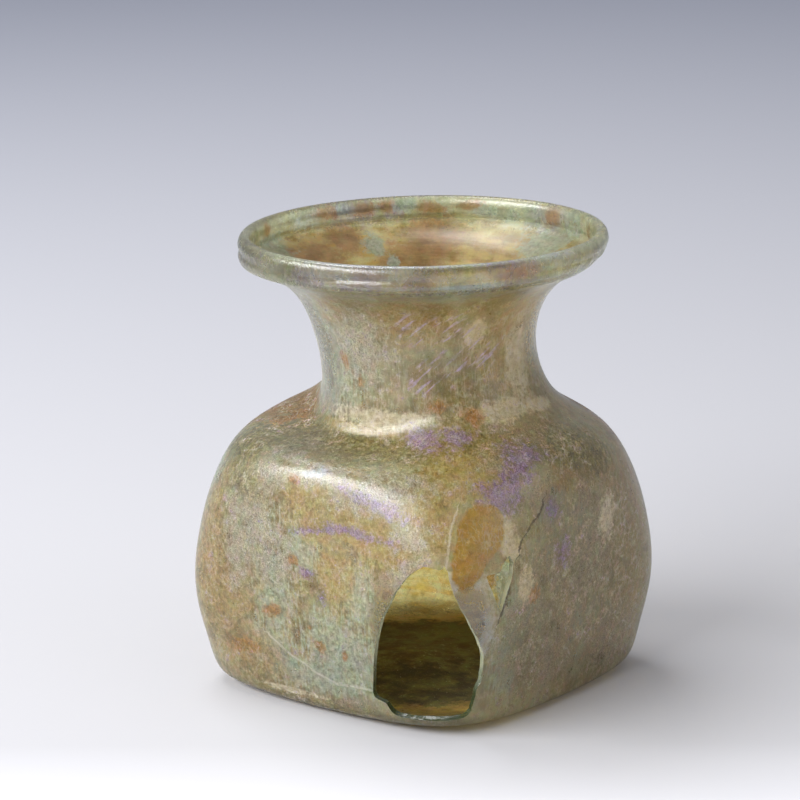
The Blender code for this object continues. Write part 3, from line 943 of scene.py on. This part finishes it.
def weatheredGlass():
    # blown glass after long burial: dull and translucent, under thin gold, grey, violet and rusty films, with
    # painted shade, highlights, sheen and glow in some of their patches and painted glints over all
    material = bpy.data.materials.new("weathered blown glass")
    material.use_nodes = True
    tree = material.node_tree
    shader = tree.nodes["Principled BSDF"]
    place = addNode(tree, "ShaderNodeTexCoord").outputs["Object"]

    def noise(grain, stretch=(1, 1, 1), detail=3, seed=0.0, rough=0.6, turn=0.0, output="Fac"):
        # a noise whose grains are the given size in millimetres, longer where the stretch is above 1
        spread = addNode(
            tree,
            "ShaderNodeMapping",
            {
                "Vector": place,
                "Location": (seed, seed, seed),
                "Rotation": (turn, turn, 0),
                "Scale": [mm * grain * along for along in stretch],
            },
            vector_type="TEXTURE",
        )
        inputs = {"Vector": spread.outputs[0], "Scale": 1.0, "Detail": detail, "Roughness": rough}
        return addNode(tree, "ShaderNodeTexNoise", inputs).outputs[output]

    def thinLines(field, width):
        # a thin line wherever a noise crosses its middle
        away = worked(tree, "SUBTRACT", field, 0.5)
        away = worked(tree, "ABSOLUTE", away)
        return between(tree, away, 0.3 * width, width, 1.0, 0.0)

    broad = noise(12, detail=2)  # drifts of tone across a whole side
    patchy = noise(3.4, detail=4, seed=3.1, rough=0.72)  # the torn outlines of the films
    grain = noise(0.8, detail=4, seed=7.7, rough=0.78)  # the grain of the crust
    hues = noise(1.8, detail=2, seed=8.3, rough=0.6, output="Color")  # faint rainbow mottling
    fine = noise(0.26, detail=2, seed=1.3, rough=0.85)  # pits and painted glints, twice their real size to show
    streaks = noise(0.5, stretch=(1, 1, 8), detail=2, seed=5.9)  # upright streaks from blowing
    fibres = thinLines(noise(1.2, stretch=(1, 1, 6), detail=1, seed=4.3, turn=0.6), 0.045)
    crossing = thinLines(noise(1.4, stretch=(1, 1, 5), detail=1, seed=9.1, turn=-0.5), 0.04)
    upright = thinLines(noise(0.9, stretch=(1, 1, 9), detail=1, seed=6.6), 0.06)
    levels = noise(0.8, stretch=(9, 9, 1), detail=2, seed=2.2)  # level rings in the lining
    slanting = addNode(tree, "ShaderNodeAttribute", attribute_name="twist").outputs["Vector"]
    slanting = {"Vector": slanting, "Scale": 1.0, "Detail": 2, "Roughness": 0.6}
    slanting = addNode(tree, "ShaderNodeTexNoise", slanting).outputs["Fac"]
    pits = worked(tree, "MULTIPLY", between(tree, fine, 0.35, 0.29), between(tree, grain, 0.52, 0.44))
    # painted glints: bright specks painted into the colour where the fine noise peaks on the grainy parts
    paintedGlints = worked(tree, "MULTIPLY", between(tree, fine, 0.66, 0.72), between(tree, grain, 0.48, 0.6))

    # the outer face: the weathered glass, then its films, scratches, swirl and cracks
    neckPart = between(tree, heightOf(tree, place), 48 * mm, 53 * mm)
    colour = mixed(tree, between(tree, patchy, 0.42, 0.6), "#90834E", "#C8BC84")
    colour = mixed(tree, worked(tree, "MULTIPLY", neckPart, 0.6), colour, "#968A54")
    colour = mixed(tree, between(tree, broad, 0.48, 0.6), colour, "#B6B488")
    worn = {
        name: filmMask(tree, name, streaks if name == "aqua" else patchy, grain) for name in outerFilms
    }
    for name in outerFilms:
        mottling = between(tree, fine if name in finelyMottled else grain, 0.34, 0.66)
        colour = mixed(tree, worn[name], colour, mixed(tree, mottling, *films[name]["tints"]))
    strokes = worked(tree, "MULTIPLY", upright, neckPart)
    strokes = worked(tree, "MULTIPLY", strokes, between(tree, patchy, 0.4, 0.6, 0.1, 0.45))
    threads = worked(tree, "MAXIMUM", fibres, crossing)
    threads = worked(tree, "MULTIPLY", threads, between(tree, patchy, 0.45, 0.65, 0.05, 0.35))
    colour = mixed(tree, worked(tree, "MAXIMUM", strokes, threads), colour, "#EFECD6")
    swirl = between(tree, measured(tree, "swirl"), -0.1, 0.3)
    swirl = worked(tree, "MULTIPLY", between(tree, slanting, 0.54, 0.6), swirl)
    swirl = worked(tree, "MULTIPLY", swirl, between(tree, patchy, 0.4, 0.55, 0.1, 0.9))
    colour = mixed(tree, swirl, colour, "#DCD0F6")
    colour = mixed(tree, crackLine(tree, "paleCrack", 0.3, 0.8, grain), colour, "#F0EEDC")
    colour = mixed(tree, crackLine(tree, "darkCrack", 0.42, 0.9, grain), colour, "#4A442C")

    # the inner face: a golden lining in level bands under its own films
    banded = worked(tree, "MULTIPLY_ADD", levels, 0.5, worked(tree, "MULTIPLY", patchy, 0.5))
    lining = mixed(tree, between(tree, banded, 0.43, 0.57), "#AC801C", "#ECC858")
    # painted shade: the floor inside darkened nearly to black, where little light reaches
    floorShade = filmMask(tree, "innerFloorShade", patchy, grain)
    for name in innerFilms:
        mottling = between(tree, grain if name == "innerAqua" else banded, 0.42, 0.58)
        mask = floorShade if name == "innerFloorShade" else filmMask(tree, name, patchy, grain)
        lining = mixed(tree, mask, lining, mixed(tree, mottling, *films[name]["tints"]))
    colour = mixed(tree, measured(tree, "inside"), colour, lining)

    # mottling of both faces, stronger where the dull film and its painted shade lie: (low, high) outside it
    # and on it
    colour = mixed(tree, 0.3, colour, hues, blend_type="OVERLAY")
    busy = between(tree, measured(tree, "dullAndShade"), -0.4, 0.2)
    for rough, low, high in (
        (patchy, (0.94, 0.7), (1.06, 1.36)),
        (grain, (0.92, 0.74), (1.07, 1.3)),
        (fine, (0.9, 0.8), (1.1, 1.2)),
    ):
        darkest, lightest = between(tree, busy, 0, 1, *low), between(tree, busy, 0, 1, *high)
        speckle = between(tree, rough, 0.32, 0.68, darkest, lightest)
        colour = mixed(tree, 1.0, colour, speckle, blend_type="MULTIPLY")
    colour = mixed(tree, worked(tree, "MULTIPLY", pits, 0.8), colour, "#54432A")
    # the painted glints laid over the colour
    colour = mixed(tree, worked(tree, "MULTIPLY", paintedGlints, 0.75), colour, "#FFFBEC")
    tree.links.new(colour, shader.inputs["Base Color"])

    relief = worked(tree, "MULTIPLY_ADD", grain, 0.5, worked(tree, "MULTIPLY", streaks, 0.5))
    relief = worked(tree, "MULTIPLY_ADD", fine, 0.3, worked(tree, "MULTIPLY_ADD", patchy, 0.9, relief))
    relief = worked(tree, "MULTIPLY_ADD", pits, -0.5, relief)
    bump = addNode(tree, "ShaderNodeBump", {"Height": relief, "Strength": 0.8, "Distance": 0.1 * mm})
    tree.links.new(bump.outputs[0], shader.inputs["Normal"])
    tree.links.new(bump.outputs[0], shader.inputs["Coat Normal"])

    # clean glass is clearest and smoothest, and the floor's painted shade is opaque and matt
    clear = worked(tree, "MAXIMUM", worn["clean"], measured(tree, "inside"))
    matt = worked(tree, "MAXIMUM", floorShade, worked(tree, "MULTIPLY", worn["amber"], 0.4))
    clouded = worked(tree, "SUBTRACT", 1.0, clear)
    clouded = worked(tree, "MULTIPLY", clouded, between(tree, grain, 0.35, 0.65, 0.14, 0.34))
    through = worked(tree, "MULTIPLY_ADD", matt, -0.9, 0.95)
    through = worked(tree, "MULTIPLY", worked(tree, "SUBTRACT", 1.0, clouded), through)
    roughness = between(tree, patchy, 0.3, 0.7, 0.26, 0.46)
    roughness = worked(tree, "MULTIPLY_ADD", worn["clean"], -0.12, roughness)
    tree.links.new(through, shader.inputs["Transmission Weight"])
    tree.links.new(worked(tree, "MULTIPLY_ADD", matt, 0.6, roughness), shader.inputs["Roughness"])
    tree.links.new(worked(tree, "MULTIPLY_ADD", matt, -0.42, 0.4), shader.inputs["Coat Weight"])
    shader.inputs["IOR"].default_value = 1.5
    shader.inputs["Coat Roughness"].default_value = 0.16
    return material


def brokenGlass():
    # bare broken glass, smooth and glossy: deep green at the foot of the break, cream higher up, where the
    # cream is a painted glow of light carried inside the glass
    material = bpy.data.materials.new("broken glass edge")
    material.use_nodes = True
    tree = material.node_tree
    shader = tree.nodes["Principled BSDF"]
    place = addNode(tree, "ShaderNodeTexCoord").outputs["Object"]
    ripple = {"Vector": place, "Scale": 1 / (1.5 * mm), "Detail": 2}
    ripple = addNode(tree, "ShaderNodeTexNoise", ripple).outputs["Fac"]
    rise = between(tree, heightOf(tree, place), 8 * mm, 17 * mm)
    colour = mixed(tree, rise, "#36442E", mixed(tree, ripple, "#9CAC86", "#E2E2CC"))
    tree.links.new(colour, shader.inputs["Base Color"])
    bump = addNode(tree, "ShaderNodeBump", {"Height": ripple, "Strength": 0.4, "Distance": 0.2 * mm})
    tree.links.new(bump.outputs[0], shader.inputs["Normal"])
    shader.inputs["Roughness"].default_value = 0.16
    shader.inputs["IOR"].default_value = 1.5
    shader.inputs["Transmission Weight"].default_value = 0.5
    return material


# clearing the slots would put every face back in the first one, so each slot is filled anew
glassJar.data.materials[0] = weatheredGlass()
glassJar.data.materials[1] = brokenGlass()
glassJar.data.shade_smooth()
glassJar.data.set_sharp_from_angle(angle=math.radians(38))
print("glass finished")
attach(glassJar, "root")
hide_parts("jar")


# Floor and light

# the far colour is darker and bluer: painted shade where the light falls away
floorDisc = {"inner": 60, "radius": 3000, "level": -0.05, "near": "#B8B8BC", "far": "#9CA0AE"}


def makeFloor():
    # a flat disc of rings, each wider than the last by the same share
    angle = np.arange(96) / 96 * turnRound
    radius = np.geomspace(floorDisc["inner"], floorDisc["radius"], 30)[:, None]
    rings = roundPoints((radius + 0 * angle, 0 * radius + floorDisc["level"] + 0 * angle), angle)
    count, columns = rings.shape[:2]
    mesh = bpy.data.meshes.new("floor")
    start = np.arange(columns)
    beside = (start + 1) % columns
    row = np.arange(count - 1)[:, None] * columns
    quads = np.stack([row + start, row + columns + start, row + columns + beside, row + beside], axis=-1)
    points = np.vstack([rings.reshape(-1, 3), [[0, 0, floorDisc["level"]]]]) * mm
    fan = np.column_stack([start, beside, np.full(columns, count * columns)])
    mesh.from_pydata(points.tolist(), [], quads.reshape(-1, 4).tolist() + fan.tolist())
    floor = newObject("floor", mesh)
    # matt paper, pale and without gloss; its colour holds painted shade, greyer far off where the light falls
    # away, and a painted pool of light in front of the jar, lighter towards the camera
    paper = bpy.data.materials.new("matt paper")
    paper.use_nodes = True
    tree = paper.node_tree
    shader = tree.nodes["Principled BSDF"]
    shader.inputs["Roughness"].default_value = 0.9
    shader.inputs["Specular IOR Level"].default_value = 0.1
    place = addNode(tree, "ShaderNodeTexCoord").outputs["Object"]
    away = addNode(tree, "ShaderNodeVectorMath", {0: place}, operation="LENGTH").outputs["Value"]
    colour = mixed(tree, between(tree, away, 60 * mm, 900 * mm), floorDisc["near"], floorDisc["far"])
    ahead = {0: place, 1: (*unitAt(view["azimuth"] - 90), 0)}
    ahead = addNode(tree, "ShaderNodeVectorMath", ahead, operation="DOT_PRODUCT").outputs["Value"]
    # painted light: the floor up to 1.4 times lighter in front of the jar, over the shade that the lamps
    # behind cast there
    paintedFrontLight = between(tree, ahead, 40 * mm, 85 * mm, 1.0, 1.4)
    colour = mixed(tree, 1.0, colour, paintedFrontLight, blend_type="MULTIPLY")
    tree.links.new(colour, shader.inputs["Base Color"])
    mesh.materials.append(paper)


lights = [
    # name, direction as (right, towards the camera, up), distance, width and height, watts
    ("left softbox", (-0.765, 0.407, 0.5), 900, (1150, 380), 16.0),
    ("back softbox", (-0.289, -0.37, 0.883), 1000, (520, 420), 5.0),
    ("right fill", (0.88, 0.36, 0.3), 1200, (900, 700), 2.5),
    ("overhead softbox", (0.05, -0.1, 1.0), 1200, (1500, 1500), 1.5),
]


def makeLights():
    # soft boxes that face the jar's middle
    right, _, back = cameraAxes()
    front = np.array([back[0], back[1], 0]) / np.hypot(back[0], back[1])
    for name, (across, ahead, up), far, size, watts in lights:
        away = across * right + ahead * front + up * np.array([0, 0, 1])
        away = away / np.linalg.norm(away)
        data = bpy.data.lights.new(name, "AREA")
        data.shape = "RECTANGLE"
        data.size, data.size_y = [length * mm for length in size]
        data.energy = watts
        lamp = newObject(name, data)
        side = np.cross([0, 0, 1.0], away)
        side = side / np.linalg.norm(side)
        turn = np.eye(4)
        turn[:3, 0], turn[:3, 1], turn[:3, 2] = side, np.cross(away, side), away
        turn[:3, 3] = (away * far + np.array([0, 0, view["middle"]])) * mm
        lamp.matrix_world = Matrix(turn)


def makeWorld():
    # even grey light from all round
    world = bpy.data.worlds.new("studio")
    bpy.context.scene.world = world
    world.use_nodes = True
    background = world.node_tree.nodes["Background"]
    background.inputs["Color"].default_value = (0.4, 0.4, 0.417, 1)
    background.inputs["Strength"].default_value = 1.0


makeFloor()
makeLights()
makeWorld()
bpy.context.scene.view_settings.view_transform = "Standard"
print("floor and lights made")
